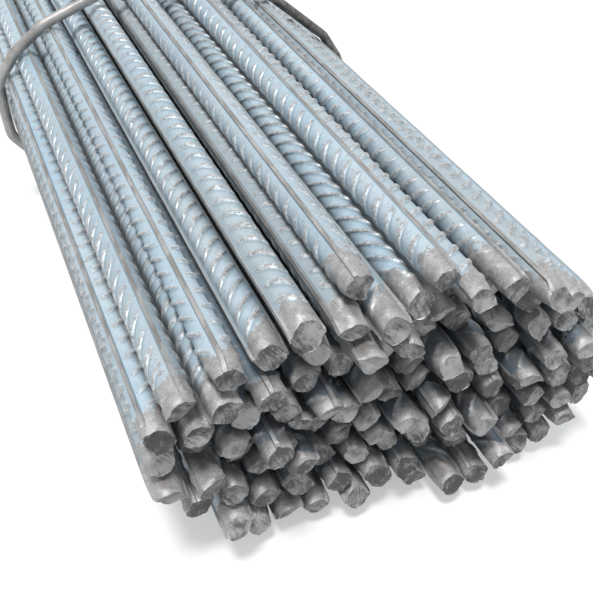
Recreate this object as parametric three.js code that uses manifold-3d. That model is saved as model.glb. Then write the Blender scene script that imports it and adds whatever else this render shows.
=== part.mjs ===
// A tied bundle of deformed steel reinforcing bars, as a mill ships it.
// Millimetres, +Z up. The bars lie along Y, with the near ends at -Y. The outer bars are
// separate solids, and the bars inside are one solid for each layer of the stack.
import * as THREE from 'three';
import { mergeVertices } from 'three/addons/utils/BufferGeometryUtils.js';
import Module from 'manifold-3d';

const wasm = await Module();
wasm.setup();

// ---- Driving dimensions ----
const BAR_LENGTH = 6000; // stock length
const BODY_DIAMETER = 16.8; // round body, measured half way up the slanted ribs
const RIB_HEIGHT = 0.5; // a lengthwise rib stands this far above the body
const RIB_WIDTH = 2.2; // its flat top
const RIB_FLARE = 0.5; // its foot is wider than its top by this on each side
const CLEARANCE = 0.3; // gap between neighbours that rest on each other

const SHEAR_LENGTH = 14; // length over which the shears squeeze the end of a bar
const SHEAR_PINCH = 0.2; // share of the width that the shears squeeze off, at most
const LEAST_PINCH = 0.06; // and at least
const SHEAR_FACING = 1.65; // radians from +X to the side that the blades mostly cut from
const FACING_SPREAD = 0.5; // the most that a bar's own cut turns away from that
const SHEAR_TILT = 0.1; // usual slope of a sheared face
const TILT_SPREAD = 0.25; // the most that the slope of one face differs from it
const SAW_TILT = 0.05; // steepest slope of a face at the far end
const END_STAGGER = 14; // the most that a bar stands ahead of the end plane or behind it

const WIRE_DIAMETER = 7.5; // wire rod of the ties
const TIE_COUNT = 4;
const TIE_INSET = 355; // from the end of the bundle to the first and last tie
const KNOT_LENGTH = 46; // twisted pair, pressed down along the bars
const KNOT_TURNS = 1.25;
const KNOT_BEND = 13; // length over which an end of the wire turns into the knot
const KNOT_SWEEP = 3; // half way round that bend the wire swings out this far towards the near end
const KNOT_LIFT = 1; // and stands this far above the straight way there
const WIRE_SIDES = 6;
const RINGS_A_TURN = 8; // rings of the wire in one turn of the knot
const STEEPEST_BEND = 0.6; // radians between two rings of the wire where it rounds a bar

const LAYER_WEB = 3; // thickness of the joint between the bars of an inner layer
const GAP_DEPTH = 90; // the gaps between those bars are cut this deep into both ends

// ---- The stack ----
// Places of the bars of each course, from the floor up, counted in bar spacings from the
// middle of the bundle, and how many of them lie open to the left and to the right. Where
// the near ends lie open to view, back is how far each stands behind the end plane. turned
// says which way a lengthwise rib of each of the first bars faces, in degrees up from +X.
const SPACING = 1.07 * BODY_DIAMETER;
const COURSE_RISE = 0.86 * SPACING;
const COURSE_WAVE = 0.04 * SPACING; // a bar starts this far above or below its course, at most
const ALL = 99;
const COURSES = [
  { left: ALL, right: 0, at: [-2.5, -1.2, -0.1, 1.0, 2.1, 3.2, 4.4] },
  { left: 2, right: 1, at: [-4.1, -3.1, -2.1, -1.0, 0.1, 1.1, 2.1, 3.2, 4.2, 5.3] },
  { left: 1, right: 1, at: [-5.1, -4.1, -3.1, -2.1, -1.0, 0.0, 1.1, 2.1, 3.1, 4.2, 5.2, 6.2] },
  { left: 1, right: 1, at: [-6.2, -5.2, -4.2, -3.2, -2.1, -1.0, 0.1, 1.2, 2.3, 3.4, 4.5, 5.6, 6.7] },
  {
    left: 1,
    right: 1,
    at: [-7.1, -6.0, -4.9, -4.0, -2.8, -1.6, -0.5, 0.6, 1.7, 2.8, 3.9, 5.0, 6.1, 7.2],
  },
  {
    left: 1,
    right: 1,
    at: [-7.2, -6.3, -5.3, -4.3, -3.3, -1.9, -0.8, 0.3, 1.3, 2.5, 3.6, 4.8, 5.9, 7.0],
  },
  {
    left: 1,
    right: 1,
    at: [-7.3, -6.4, -5.1, -4.1, -3.1, -1.5, -0.4, 0.9, 2.0, 3.1, 4.3, 5.5, 6.4],
    back: [2, 0, 2, 0, -6, -2, 5, -4, 1, 8, -8, -7, 11],
    turned: [135],
  },
  {
    left: 1,
    right: 2,
    at: [-6.8, -5.9, -4.6, -3.6, -2.5, -1.1, 0.4, 1.4, 2.6, 3.7, 4.7, 5.7],
    back: [1, -4, -3, 2, 8, 11, 15, 13, 9, 3, 2, 6],
    turned: [85],
  },
  {
    left: 2,
    right: 2,
    at: [-5.8, -4.6, -3.5, -2.3, -1.2, 0.2, 1.2, 2.3, 3.3, 4.5],
    back: [-2, 4, 1, -12, -9, 4, 24, 18, 6, 0],
    turned: [105, 10],
  },
  {
    left: ALL,
    right: 0,
    at: [-3.9, -2.7, -1.7, -0.8, 0.8, 2.05, 3.1],
    back: [-1, -4, -9, 3, -7, -4, -12],
    turned: [180, 160, 30, 25, 150, 88, 122],
  },
  { left: ALL, right: 0, at: [-2.55, -0.4], back: [4, -4], turned: [115, 80] },
];

// ---- The settling of the stack ----
const SETTLE_STEPS = 400; // the bars sink and the ties hold them to their places
const SPREAD_STEPS = 800; // then they only push each other apart
const SINK = 0.004 * SPACING; // a first step down, which fades to nothing
const HOLD = 0.02; // share of the way back to its place that a bar moves in a step
const WIDEST_LINK = 1.35 * SPACING; // between neighbours of an inner layer
const WIDEST_TOUCH = BODY_DIAMETER + 2 * RIB_HEIGHT + CLEARANCE; // two lengthwise ribs that meet

const BODY_RADIUS = BODY_DIAMETER / 2;
const WIRE_RADIUS = WIRE_DIAMETER / 2;
const WIRE_CORNER_RADIUS = WIRE_RADIUS / Math.cos(Math.PI / WIRE_SIDES);
const FOOT_HALF_WIDTH = RIB_WIDTH / 2 + RIB_FLARE;
const FOOT_ANGLE = Math.asin(FOOT_HALF_WIDTH / BODY_RADIUS);

// A number from -1 to 1 that depends only on its two whole numbers.
function scatter(bar, salt) {
  const wave = Math.sin(bar * 127.1 + salt * 311.7) * 43758.5453;
  return 2 * (wave - Math.floor(wave)) - 1;
}

// How far a bar reaches from its axis in a direction: further over its lengthwise ribs.
function reach(bar, direction) {
  const halfTurn = Math.abs((direction - bar.roll) % Math.PI);
  const fromRib = Math.min(halfTurn, Math.PI - halfTurn);
  return BODY_RADIUS + (fromRib < 2 * FOOT_ANGLE ? RIB_HEIGHT : 0);
}

function makeBars() {
  let count = 0;
  return COURSES.flatMap((course, row) =>
    course.at.map((place, column) => {
      const serial = count++;
      return {
        serial,
        row,
        column,
        home: place * SPACING,
        x: place * SPACING,
        z: BODY_RADIUS + RIB_HEIGHT + row * COURSE_RISE + COURSE_WAVE * scatter(serial, 1),
        roll: THREE.MathUtils.degToRad(course.turned?.[column] ?? 180 * scatter(serial, 2)),
        shift: course.back?.[column] ?? END_STAGGER * scatter(serial, 3) * Math.abs(scatter(serial, 3)),
      };
    }),
  );
}

function isOuter(bar) {
  const { left, right, at } = COURSES[bar.row];
  return bar.column < left || bar.column >= at.length - right;
}

// Pushes two bars apart until they only just clear each other.
function part(one, other) {
  const dx = other.x - one.x;
  const dz = other.z - one.z;
  const distance = Math.hypot(dx, dz);
  if (distance > WIDEST_TOUCH) return;
  const direction = Math.atan2(dz, dx);
  const short = reach(one, direction) + reach(other, direction) + CLEARANCE - distance;
  if (short <= 0) return;
  const share = short / distance / 2;
  one.x -= dx * share;
  one.z -= dz * share;
  other.x += dx * share;
  other.z += dz * share;
}

// Draws two neighbours of an inner layer together where the settling has parted them.
function draw(one, other) {
  const distance = Math.hypot(other.x - one.x, other.z - one.z);
  const share = (0.5 * Math.max(0, distance - WIDEST_LINK)) / distance;
  one.x += (other.x - one.x) * share;
  one.z += (other.z - one.z) * share;
  other.x -= (other.x - one.x) * share;
  other.z -= (other.z - one.z) * share;
}

function settle(bars) {
  const links = bars.slice(1).map((bar, i) => [bars[i], bar]);
  const inside = links.filter(([a, b]) => a.row === b.row && !isOuter(a) && !isOuter(b));
  for (let step = 0; step < SETTLE_STEPS + SPREAD_STEPS; step++) {
    const fade = Math.max(0, 1 - step / SETTLE_STEPS);
    for (const bar of bars) {
      bar.x += (bar.home - bar.x) * HOLD * fade;
      bar.z -= SINK * fade;
    }
    for (const [one, other] of inside) draw(one, other);
    bars.forEach((one, i) => bars.slice(i + 1).forEach((other) => part(one, other)));
    for (const bar of bars) bar.z = Math.max(bar.z, BODY_RADIUS + RIB_HEIGHT);
  }
}

// ---- One bar ----
// Its section: a round body with two opposite flat-topped lengthwise ribs.
function barSection() {
  const top = BODY_RADIUS + RIB_HEIGHT;
  const section = new THREE.Shape();
  section.moveTo(top, -RIB_WIDTH / 2);
  section.lineTo(top, RIB_WIDTH / 2);
  section.absarc(0, 0, BODY_RADIUS, FOOT_ANGLE, Math.PI - FOOT_ANGLE, false);
  section.lineTo(-top, RIB_WIDTH / 2);
  section.lineTo(-top, -RIB_WIDTH / 2);
  section.absarc(0, 0, BODY_RADIUS, Math.PI + FOOT_ANGLE, 2 * Math.PI - FOOT_ANGLE, false);
  section.closePath();
  return section;
}

// The bar stands on its far end at z = 0, and its near end is up. arcPairs sets how round
// the body is.
function barGeometry(bar, arcPairs) {
  const geometry = new THREE.ExtrudeGeometry(barSection(), {
    depth: 2,
    steps: 2,
    bevelEnabled: false,
    curveSegments: arcPairs,
  });
  geometry.rotateZ(bar.roll);
  const facing = SHEAR_FACING + FACING_SPREAD * scatter(bar.serial, 4);
  const along = new THREE.Vector2(Math.cos(facing), Math.sin(facing));
  const slope = SHEAR_TILT + TILT_SPREAD * scatter(bar.serial, 5);
  const pinch = LEAST_PINCH + (SHEAR_PINCH - LEAST_PINCH) * Math.abs(scatter(bar.serial, 6));
  const sawSlope = SAW_TILT * scatter(bar.serial, 7);
  const position = geometry.getAttribute('position');
  for (let i = 0; i < position.count; i++) {
    const point = new THREE.Vector2(position.getX(i), position.getY(i));
    const off = point.dot(along);
    const ring = Math.round(position.getZ(i));
    if (ring === 0) position.setZ(i, sawSlope * off);
    if (ring === 1) position.setZ(i, BAR_LENGTH - SHEAR_LENGTH);
    if (ring === 2) {
      point.addScaledVector(along, -pinch * off);
      position.setXYZ(i, point.x, point.y, BAR_LENGTH + slope * off);
    }
  }
  return geometry;
}

function placeBar(object, bar) {
  object.rotation.x = Math.PI / 2;
  object.position.set(bar.x, BAR_LENGTH / 2 + bar.shift, bar.z);
  return object;
}

// ---- Solids ----
function solidOf(mesh) {
  mesh.updateMatrixWorld(true);
  const geometry = mesh.geometry.clone().applyMatrix4(mesh.matrixWorld);
  geometry.deleteAttribute('normal');
  geometry.deleteAttribute('uv');
  const merged = mergeVertices(geometry, 1e-3);
  return new wasm.Manifold(
    new wasm.Mesh({
      numProp: 3,
      vertProperties: merged.getAttribute('position').array,
      triVerts: new Uint32Array(merged.getIndex().array),
    }),
  );
}

function geometryOf(solid) {
  const mesh = solid.getMesh();
  const geometry = new THREE.BufferGeometry();
  geometry.setAttribute('position', new THREE.BufferAttribute(mesh.vertProperties, 3));
  geometry.setIndex(new THREE.BufferAttribute(mesh.triVerts, 1));
  geometry.computeVertexNormals();
  return geometry;
}

// ---- An inner layer ----
// A thin plate that joins two neighbours of a layer, short of both ends.
function layerJoint(one, other) {
  const length = BAR_LENGTH - 2 * GAP_DEPTH;
  const width = Math.hypot(other.x - one.x, other.z - one.z);
  const plate = new THREE.Mesh(new THREE.BoxGeometry(width, length, LAYER_WEB));
  plate.rotation.y = -Math.atan2(other.z - one.z, other.x - one.x);
  plate.position.set((one.x + other.x) / 2, 0, (one.z + other.z) / 2);
  return solidOf(plate);
}

function layerGeometry(bars) {
  let layer = null;
  bars.forEach((bar, i) => {
    const solid = solidOf(placeBar(new THREE.Mesh(barGeometry(bar, 2)), bar));
    layer = layer ? layer.add(solid) : solid;
    if (i > 0) layer = layer.add(layerJoint(bars[i - 1], bar));
  });
  return geometryOf(layer);
}

// ---- The ties ----
// A wire's route through given stops, one ring of the swept section for each. A stop holds
// its place and the heading of the wire there.
class Route extends THREE.Curve {
  constructor(stops) {
    super();
    this.stops = stops;
  }

  getPoint(t) {
    return this.stops[Math.round(t * (this.stops.length - 1))].at;
  }

  getPointAt(u) {
    return this.getPoint(u);
  }

  // The section doesn't twist. It starts half way round the loop, with a flat facing outwards
  // and one facing inwards, so that the wire lies flat on the floor and on the bars.
  computeFrenetFrames() {
    const tangents = this.stops.map((stop) => stop.heading);
    const last = tangents.length - 1;
    const start = Math.round(last / 2);
    const normals = [];
    normals[start] = tangents[start].clone().cross(new THREE.Vector3(0, 1, 0));
    const carry = (from, to) => {
      const bend = new THREE.Quaternion().setFromUnitVectors(tangents[from], tangents[to]);
      normals[to] = normals[from].clone().applyQuaternion(bend);
    };
    for (let i = start; i < last; i++) carry(i, i + 1);
    for (let i = start; i > 0; i--) carry(i, i - 1);
    const binormals = tangents.map((tangent, i) => tangent.clone().cross(normals[i]));
    return { tangents, normals, binormals };
  }
}

const turnOf = (a, b, c) => (b.x - a.x) * (c.z - a.z) - (b.z - a.z) * (c.x - a.x);

// The bars that a taut wire touches, anticlockwise as seen from the near end, top one first.
function hullOf(bars) {
  const sorted = [...bars].sort((a, b) => a.x - b.x || a.z - b.z);
  const chain = (list) =>
    list.reduce((kept, bar) => {
      while (kept.length > 1 && turnOf(kept.at(-2), kept.at(-1), bar) <= 0) kept.pop();
      return [...kept, bar];
    }, []);
  const hull = [...chain(sorted).slice(0, -1), ...chain(sorted.reverse()).slice(0, -1)];
  const top = hull.reduce((best, bar, i) => (bar.z > hull[best].z ? i : best), 0);
  return hull.map((_, i) => hull[(top + i) % hull.length]);
}

// The direction out of the bundle, square to the straight span between two bars.
const outwards = (from, to) => Math.atan2(from.x - to.x, to.z - from.z);

// A place on the wire where it lies on a bar, in a direction out of the bundle.
function stopOn(bar, angle) {
  const out = new THREE.Vector3(Math.cos(angle), 0, Math.sin(angle));
  const offset = BODY_RADIUS + RIB_HEIGHT + CLEARANCE + WIRE_RADIUS;
  return {
    at: new THREE.Vector3(bar.x, 0, bar.z).addScaledVector(out, offset),
    heading: new THREE.Vector3(-out.z, 0, out.x),
  };
}

function loopStops(hull) {
  return hull.slice(1).flatMap((bar, i) => {
    const start = outwards(hull[i], bar);
    const turn = outwards(bar, hull[(i + 2) % hull.length]) - start;
    const round = turn - 2 * Math.PI * Math.floor(turn / (2 * Math.PI));
    const steps = Math.max(1, Math.ceil(round / STEEPEST_BEND));
    const count = [...Array(steps + 1).keys()];
    return count.map((step) => stopOn(bar, start + (round * step) / steps));
  });
}

// One end of the wire: it leaves the loop by the top bar, bends to lie along that bar and
// winds round the other end. side is -1 for the left end and 1 for the right one.
function knotStops(top, neighbour, side) {
  const angle = side < 0 ? outwards(top, neighbour) : outwards(neighbour, top);
  const span = stopOn(top, angle);
  const leave = span.at.clone().addScaledVector(span.heading, -side * KNOT_BEND);
  const radius = WIRE_CORNER_RADIUS + CLEARANCE / 2;
  const axis = stopOn(top, Math.PI / 2).at.add(new THREE.Vector3(0, 0, radius + CLEARANCE));
  const places = [leave];
  const steps = Math.round(RINGS_A_TURN * KNOT_TURNS);
  for (let step = 0; step <= steps; step++) {
    const wound = (2 * Math.PI * step) / RINGS_A_TURN;
    const swing = new THREE.Vector3(Math.cos(wound), 0, Math.sin(wound));
    const along = KNOT_BEND + (KNOT_LENGTH * step) / steps;
    places.push(axis.clone().addScaledVector(swing, side * radius).setY(along));
  }
  const corner = leave.clone().lerp(places[1], 0.5);
  corner.y -= KNOT_SWEEP;
  corner.z += KNOT_LIFT;
  places.splice(1, 0, corner);
  return places.map((at, i) => {
    const back = places[Math.max(i - 1, 0)];
    const onward = places[Math.min(i + 1, places.length - 1)];
    const heading = onward.clone().sub(back).normalize();
    return { at, heading: i === 0 ? span.heading : heading.multiplyScalar(side) };
  });
}

function tieGeometry(bars) {
  const hull = hullOf(bars);
  const left = knotStops(hull[0], hull[1], -1).reverse();
  const right = knotStops(hull[0], hull.at(-1), 1);
  const route = new Route([...left, ...loopStops(hull), ...right]);
  const section = new THREE.Shape();
  for (let corner = 0; corner < WIRE_SIDES; corner++) {
    const angle = (Math.PI * (2 * corner + 1)) / WIRE_SIDES;
    const x = WIRE_CORNER_RADIUS * Math.cos(angle);
    const y = WIRE_CORNER_RADIUS * Math.sin(angle);
    if (corner === 0) section.moveTo(x, y);
    else section.lineTo(x, y);
  }
  section.closePath();
  return new THREE.ExtrudeGeometry(section, {
    extrudePath: route,
    steps: route.stops.length - 1,
    bevelEnabled: false,
  });
}

// ---- The assembly ----
const steel = () => new THREE.MeshStandardMaterial({ color: 0x9fb3c2, roughness: 0.55, metalness: 0.6 });
const wireRod = () => new THREE.MeshStandardMaterial({ color: 0x8b8883, roughness: 0.5, metalness: 0.7 });

const bars = makeBars();
settle(bars);

const bundle = new THREE.Group();
const named = (mesh, name) => {
  mesh.name = name;
  bundle.add(mesh);
};

function sideOf(bar) {
  if (bar.row === 0) return 'bottom';
  if (bar.row >= COURSES.length - 2) return 'top';
  return bar.column < COURSES[bar.row].left ? 'left' : 'right';
}

const counts = {};
for (const bar of bars.filter(isOuter)) {
  const side = sideOf(bar);
  counts[side] = (counts[side] ?? 0) + 1;
  const mesh = new THREE.Mesh(barGeometry(bar, 3), steel());
  named(placeBar(mesh, bar), `${side}_bar_${counts[side]}`);
}

COURSES.forEach((_, row) => {
  const inner = bars.filter((bar) => bar.row === row && !isOuter(bar));
  if (inner.length) named(new THREE.Mesh(layerGeometry(inner), steel()), `inner_bars_layer_${row}`);
});

for (let tie = 0; tie < TIE_COUNT; tie++) {
  const mesh = new THREE.Mesh(tieGeometry(bars), wireRod());
  mesh.position.y = -BAR_LENGTH / 2 + TIE_INSET + (tie * (BAR_LENGTH - 2 * TIE_INSET)) / (TIE_COUNT - 1);
  named(mesh, `wire_tie_${tie + 1}`);
}

// The middle of the whole, on the floor, is the origin.
const extent = new THREE.Box3().setFromObject(bundle, true);
const middle = extent.getCenter(new THREE.Vector3());
bundle.position.set(-middle.x, -middle.y, -extent.min.z);

const group = new THREE.Group();
group.add(bundle);
export default group;
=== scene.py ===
"""A tied bundle of deformed reinforcing bars: the ribs, sheared ends, wire and steel finish.

Metres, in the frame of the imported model. The bars lie along Y, with their near ends at -Y.
"""

import math
from types import SimpleNamespace

import bpy
import numpy as np
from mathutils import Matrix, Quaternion, Vector


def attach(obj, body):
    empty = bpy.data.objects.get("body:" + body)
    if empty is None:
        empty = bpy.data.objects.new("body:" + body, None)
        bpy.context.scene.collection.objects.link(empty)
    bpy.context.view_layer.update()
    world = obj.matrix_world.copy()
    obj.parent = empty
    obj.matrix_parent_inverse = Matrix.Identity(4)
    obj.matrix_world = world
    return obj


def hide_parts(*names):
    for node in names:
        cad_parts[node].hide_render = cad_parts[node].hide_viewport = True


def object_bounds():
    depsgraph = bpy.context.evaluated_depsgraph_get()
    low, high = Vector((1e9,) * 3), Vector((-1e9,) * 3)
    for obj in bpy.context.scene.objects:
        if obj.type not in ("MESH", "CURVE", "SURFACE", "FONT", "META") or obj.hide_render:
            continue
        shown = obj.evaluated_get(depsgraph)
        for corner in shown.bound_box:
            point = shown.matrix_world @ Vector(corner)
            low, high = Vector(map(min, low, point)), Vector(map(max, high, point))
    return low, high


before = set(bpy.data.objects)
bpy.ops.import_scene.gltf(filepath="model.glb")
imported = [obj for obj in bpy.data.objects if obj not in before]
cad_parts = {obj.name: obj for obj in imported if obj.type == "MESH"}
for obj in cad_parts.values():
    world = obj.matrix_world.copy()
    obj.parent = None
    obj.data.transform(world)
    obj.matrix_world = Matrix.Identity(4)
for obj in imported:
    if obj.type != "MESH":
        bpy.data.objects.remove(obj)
cad_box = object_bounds()

MM = 0.001

# ---- The bars ----
CORE_RADIUS = 7.7 * MM
RIB_RISE = 1.2 * MM  # a slanted rib stands this far above the core at its middle
RIB_PITCH = 11.2 * MM
LUG_HALF_WIDTH = 1.0 * MM  # flat top of a lengthwise rib
LUG_FOOT_HALF_WIDTH = 1.5 * MM
# Millimetres from a slanted rib's middle line, and the share of its height there.
RISING = ((-2.4, 0.0), (-1.75, 0.55), (-1.1, 0.93))
FINE_PROFILE = (*RISING, (0.0, 1.0), *((-off, share) for off, share in reversed(RISING)))
PLAIN_PROFILE = ((-2.2, 0.0), (-1.1, 1.0), (1.1, 1.0), (2.2, 0.0))
CRESCENT_POWER = 2.2  # how late a slanted rib fades towards its two tips
CRESCENT_TIP = 0.45  # a slanted rib's width at its two tips, as a share of that in its middle
CRESCENT_SHARE = 0.88  # of the way round between two lengthwise ribs that a slanted rib takes

# Degrees between the slanted ribs and the bar's axis, on the side that starts at the
# lengthwise rib that points more to the right, then on the other side. Above 0 the ribs
# run away from the near end as they turn anticlockwise, seen from there. The bars that lie
# open to view slope as they do in the photo. The others take one of the usual pairs.
SLANTS_SEEN = {
    "top_bar_1": (68, -48),
    "top_bar_2": (72, -50),
    "top_bar_4": (42, -64),
    "top_bar_5": (-60, 50),
    "top_bar_6": (68, -50),
    "top_bar_7": (-62, 50),
    "top_bar_8": (50, -66),
    "top_bar_9": (-63, 50),
    "left_bar_7": (-56, 50),
    "left_bar_8": (-46, 64),
    "left_bar_9": (-70, 46),
    "left_bar_10": (-48, 64),
    "right_bar_8": (-60, 50),
    "right_bar_10": (-66, 50),
}
USUAL_SLANTS = ((48, -64), (-48, 64), (64, -48), (-64, 48))

# How far from the ends the blue scale has come off, for the bars that lie open, for those
# that the others cover, and for the bars where it is much further.
BARE_OPEN = (11 * MM, 17 * MM)
BARE_COVERED = (5 * MM, 10 * MM)
BARE_SEEN = {"top_bar_6": 34 * MM, "top_bar_7": 24 * MM}

# From 0 to 1 each bar's scale is bluer or greyer by chance, but for these as the photo has it.
SHADES_SEEN = {
    "top_bar_2": 0.90,
    "top_bar_5": 0.80,
    "top_bar_9": 0.25,
    "left_bar_5": 0.85,
    "left_bar_6": 0.92,
    "left_bar_8": 0.45,
    "left_bar_9": 0.30,
    "left_bar_10": 0.40,
}

# ---- How far along a bar its ribs are meshed; past that they are bump ----
FINE_REACH = 0.42
MID_REACH = 0.80
SHORT_REACH = 0.07  # where only the end shows
FAR_REACH = 0.22
BLEND = 24 * MM  # the rows of a mesh turn from the end face to the slant of the ribs here
EDGE_ROWS = (0, 0.5 * MM, 1.3 * MM, 2.4 * MM)  # the first rows, counted from the near face
EVEN_ROWS_FROM = 3.5 * MM  # from here to BLEND they stand NEAR_ROW apart
NEAR_ROW = 1.1 * MM
FAR_ROW = 3.0 * MM
FAR_INSET = 1 * MM  # the far end's straight rows keep this far from BLEND and from the face
LONG_ROW = 0.45
ROW_GAP = 0.4 * MM  # least distance from a row along the ribs to the stretch before or after it
CHANGE_GAP = 0.6  # of a rib's pitch, left free where the meshed ribs give way to bump
SHARP_ANGLE = math.radians(32)  # a bar's edges that turn more than this stay sharp

# ---- The sheared ends ----
SQUEEZE_LENGTH = 15 * MM
SQUEEZE_FADE = 1.5  # power by which the squeeze fades over that length
RIBS_LEFT = 0.3  # share of their height that the slanted ribs keep at the ends
RIBS_GROW_FROM = 1 * MM  # from here they grow to their full height
NEAR_RIBS_GROW, FAR_RIBS_GROW = 14 * MM, 8 * MM  # over these lengths
END_ZONE = 100 * MM  # from each end of the bundle; the joints of the inner layers stop short of it
EDGE_ROLL = 0.10  # share of the radius that the shears roll over on the upper side
BURR = 0.9 * MM
BURR_FACING = -1.9  # radians from +X to the side where the burr mostly hangs
BURR_SPREAD = 0.9
BURR_EVEN = 0.65  # share of the burr's length that is the same all along it
EDGE_DEPTH = 2.6 * MM  # how far along the bar the rolled edge and the burr reach
ROUGH_SKIN = 0.05 * MM  # the shears leave the end this uneven
SKIN_DEPTH = 18 * MM
LEAF = 0.75  # how far the blades close the end at its two sides, as a share of its height there
LEAF_DEPTH = 9 * MM
LEAF_FADE = 1.3  # power by which that fades over its depth
LEAST_SQUASH, MOST_SQUASH = 0.0, 0.16  # share of its height that the shears take off besides
RIM_DENT = 0.05  # share of the radius by which the end's outline swings in and out
RIM_SWINGS = (3, 5, 7)  # times round the bar
DENT_DEPTH = 7 * MM
DENT_FADE = 1.5
FACE_WAVE = 0.2 * MM
FACE_WAVES = ((5, 3, 1), (-4, 9, 2))  # how fast they run along u and v, and shift with the bar's turn
FACE_FOLD = 1.8 * MM  # the planes that a torn face breaks into rise by about this at its rim
FACE_PLANES = 3
FACE_TIP = 0.22  # a torn face leans back by this slope, so that it looks upwards
FAR_TEAR = 0.2  # the far faces are torn by this share of that
TEAR_DEPTH = 5.0 * MM  # the rim of the end follows those planes, up to here
CAP_SHARES = (0.95, 0.85, 0.7, 0.52, 0.32, 0.14)  # rings of a face, as shares of its rim
RIM_FADE = 8  # power by which a face loses the relief of its rim towards its middle


def smooth(value):
    """0 to 1 as value goes from 0 to 1, with no corner at either."""
    value = np.clip(value, 0.0, 1.0)
    return value * value * (3 - 2 * value)


# ---- Where the frame's bars are ----
SAME_PLANE = 0.01 * MM
LUG_SHARE = 0.97  # the points of a section this near to its full reach are on a lengthwise rib


def merged(node):
    """The points and triangles of a CAD node, with shared corners joined."""
    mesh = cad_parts[node].data
    mesh.calc_loop_triangles()
    points = np.empty(3 * len(mesh.vertices))
    mesh.vertices.foreach_get("co", points)
    corners = np.empty(3 * len(mesh.loop_triangles), np.int64)
    mesh.loop_triangles.foreach_get("vertices", corners)
    rounded = np.round(points.reshape(-1, 3), 5)
    unique, index = np.unique(rounded, axis=0, return_inverse=True)
    return unique, index.reshape(-1)[corners].reshape(-1, 3)


def groups_past(points, triangles, inside):
    """Sets of points joined by triangles that lie wholly inside."""
    parent = list(range(len(points)))

    def root(i):
        while parent[i] != i:
            parent[i] = parent[parent[i]]
            i = parent[i]
        return i

    for a, b, c in triangles[inside[triangles].all(axis=1)]:
        parent[root(a)] = root(b)
        parent[root(b)] = root(c)
    found = {}
    for i in np.flatnonzero(inside):
        found.setdefault(root(i), []).append(i)
    return [points[members] for members in found.values()]


def plane_of(ring, middle):
    """Height along Y at the middle, and slopes along X and Z, of the plane of a ring."""
    across = ring[:, [0, 2]] - middle
    fit = np.column_stack([np.ones(len(ring)), across])
    return np.linalg.lstsq(fit, ring[:, 1], rcond=None)[0]


def bars_of(node):
    """The bars of a CAD node from left to right: place, roll, squeeze and the planes of both ends."""
    points, triangles = merged(node)
    low, high = cad_box[0][1] + END_ZONE, cad_box[1][1] - END_ZONE
    far_rings = groups_past(points, triangles, points[:, 1] > high)
    bars = []
    for group in groups_past(points, triangles, points[:, 1] < low):
        is_shoulder = group[:, 1] > group[:, 1].max() - SAME_PLANE
        shoulder, face = group[is_shoulder], group[~is_shoulder]
        middle = shoulder[:, [0, 2]].mean(axis=0)
        across = shoulder[:, [0, 2]] - middle
        radius = np.hypot(*across.T)
        angle = np.arctan2(across[:, 1], across[:, 0])[radius > LUG_SHARE * radius.max()]
        roll = 0.5 * math.atan2(np.sin(2 * angle).sum(), np.cos(2 * angle).sum())

        def in_turn(ring):
            """Offsets of a ring's points from the middle, in their order round the bar."""
            offset = ring[:, [0, 2]] - middle
            turn = (np.arctan2(offset[:, 1], offset[:, 0]) - roll) % (2 * math.pi)
            return offset[np.argsort(turn)]

        squeeze = np.linalg.lstsq(in_turn(shoulder), in_turn(face), rcond=None)[0]
        far = min(far_rings, key=lambda ring: np.hypot(*(ring[:, [0, 2]].mean(axis=0) - middle)))
        bars.append(
            SimpleNamespace(
                middle=middle,
                roll=roll,
                squeeze=squeeze,
                near=plane_of(face, middle),
                far=plane_of(far, middle),
                reach=radius.max(),
            )
        )
    return sorted(bars, key=lambda bar: bar.middle[0])


bar_nodes = [name for name in sorted(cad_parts) if not name.startswith("wire_tie")]
bars_by_node = {name: bars_of(name) for name in bar_nodes}
all_bars = [bar for bars in bars_by_node.values() for bar in bars]

# A bar is covered, and its steel gets painted shade, where it lies deep inside, under the second course,
# or in the others' shade.
DEEP_FROM = 26 * MM  # inside the outline of the outer bars' middles
SECOND_COURSE = 63 * MM  # below the model's top; some light reaches the bars above this
COVERED_FROM = 8 * MM  # a shaded bar lies this far inside
COVERED_UNDER = 70 * MM  # and more than this below the model's top
LIT_SIDE = -98 * MM  # left of this nothing is shaded


def hull_of(points):
    """Corners of the outline round these points, anticlockwise from the highest one."""
    ordered = sorted(map(tuple, points))

    def chain(places):
        kept = []
        for c in places:
            while len(kept) > 1:
                (ax, az), (bx, bz) = kept[-2:]
                if (bx - ax) * (c[1] - az) - (bz - az) * (c[0] - ax) > 0:
                    break
                kept.pop()
            kept.append(c)
        return kept[:-1]

    hull = chain(ordered) + chain(ordered[::-1])
    top = max(range(len(hull)), key=lambda i: hull[i][1])
    return [np.array(hull[(top + i) % len(hull)]) for i in range(len(hull))]


hull = hull_of([bar.middle for bar in all_bars])


def depth_of(bar):
    """How far a bar's middle lies inside the line round the middles of the outer ones."""
    gaps = []
    for a, b in zip(hull, hull[1:] + hull[:1]):
        along = (b - a) / np.linalg.norm(b - a)
        gaps.append(along[0] * (bar.middle[1] - a[1]) - along[1] * (bar.middle[0] - a[0]))
    return min(gaps)


def is_covered(bar):
    """Whether a bar lies so far inside, or in the others' shade, that its steel gets painted shade and
    its bare ends are shorter.
    """
    depth = depth_of(bar)
    above = cad_box[1][2] - bar.middle[1]
    shaded = above > COVERED_UNDER and bar.middle[0] > LIT_SIDE
    inside = depth > DEEP_FROM and above > SECOND_COURSE
    return inside or depth > COVERED_FROM and shaded


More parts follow.
